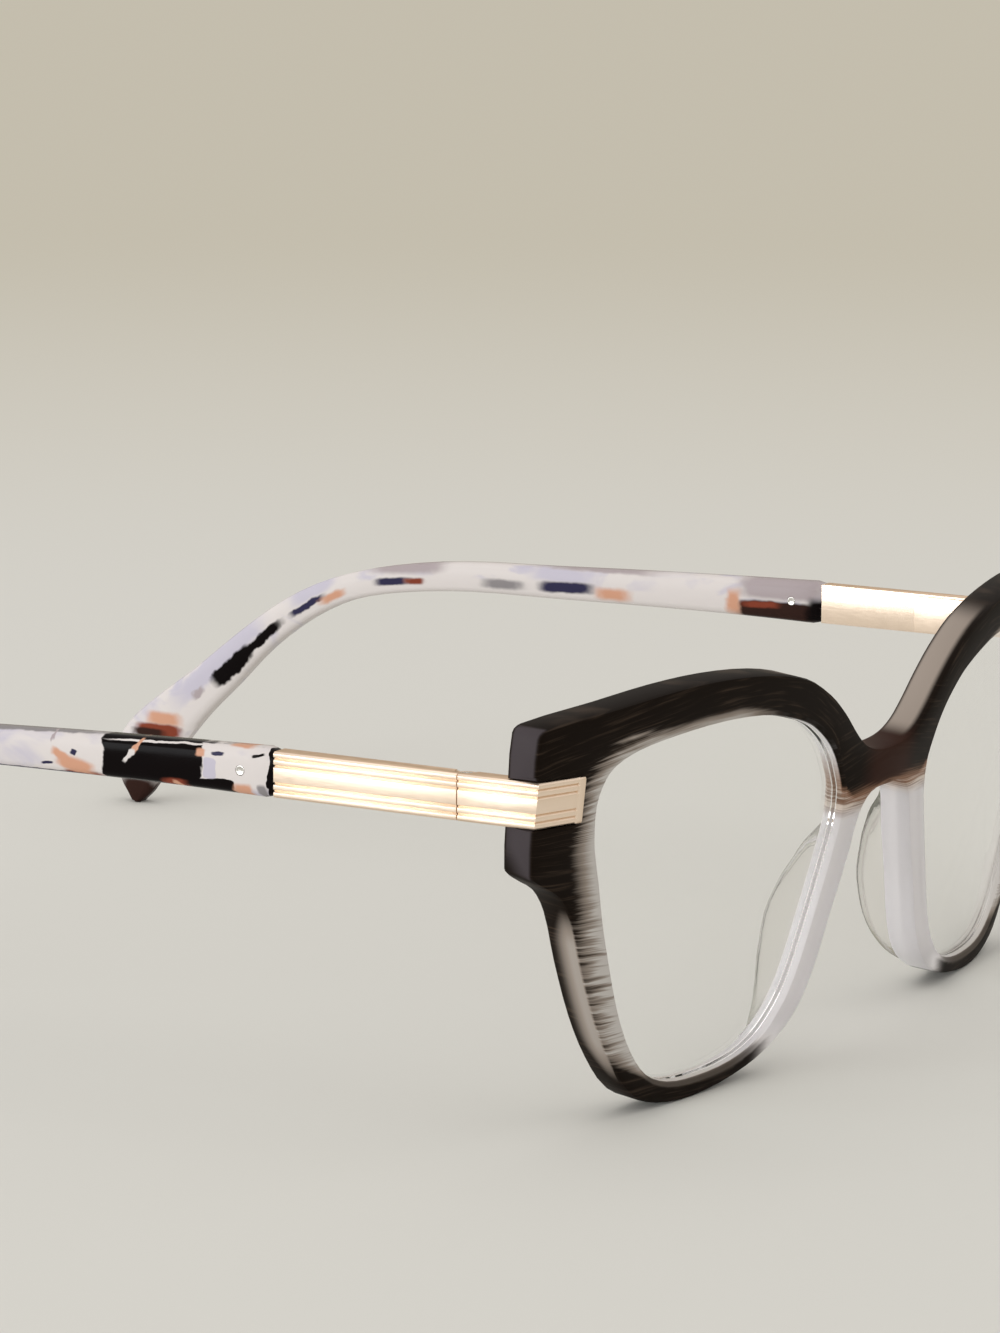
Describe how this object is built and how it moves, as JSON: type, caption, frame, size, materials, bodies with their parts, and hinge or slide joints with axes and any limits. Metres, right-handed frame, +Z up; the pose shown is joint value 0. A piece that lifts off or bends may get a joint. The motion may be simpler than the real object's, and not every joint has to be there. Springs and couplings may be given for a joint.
{
  "type": "reading glasses",
  "caption": "Reading glasses with a thick acetate front, fluted gold corner plates and bars, marbled acetate temple ends and folding barrel hinges.",
  "frame": {"origin": "on the table, below the middle of the box round the glasses as they stand open", "axes": "+X towards the wearer's left, +Y from the front back along the temples, +Z up; the front faces -Y"},
  "size_m": [0.1348, 0.1505, 0.0477],
  "materials": {
    "dark_acetate": "satin near-black brown with horn-like streaks, fading to clear grey towards the lenses",
    "lens": "clear polished",
    "clear_pad": "clear polished",
    "gold": "polished pale rose gold",
    "screw_steel": "fine brushed",
    "core_wire": "drawn wire",
    "marbled_acetate": "polished marbled pearl, black and amber"
  },
  "bodies": {
    "front": {"front_frame": "dark_acetate", "right_lens": "lens", "left_lens": "lens", "right_nose_pad": "clear_pad", "left_nose_pad": "clear_pad", "right_corner_plate": "gold", "left_corner_plate": "gold", "right_plate_screws": "screw_steel", "left_plate_screws": "screw_steel", "right_front_hinge": "gold", "left_front_hinge": "gold", "right_hinge_screw": "screw_steel", "left_hinge_screw": "screw_steel"},
    "right_temple": {"right_temple_hinge": "gold", "right_temple_bar": "gold", "right_temple_core": "core_wire", "right_temple_sleeve": "marbled_acetate", "right_temple_rivet": "screw_steel"},
    "left_temple": {"left_temple_hinge": "gold", "left_temple_bar": "gold", "left_temple_core": "core_wire", "left_temple_sleeve": "marbled_acetate", "left_temple_rivet": "screw_steel"}
  },
  "joints": [
    {"name": "right_temple_fold", "type": "hinge", "parent": "front", "child": "right_temple", "pos_m": [-0.0649, -0.05654, 0.0375], "axis": [0, 0, -1], "range_deg": [0, 86]},
    {"name": "left_temple_fold", "type": "hinge", "parent": "front", "child": "left_temple", "pos_m": [0.0649, -0.05654, 0.0375], "axis": [0, 0, 1], "range_deg": [0, 92]}
  ]
}
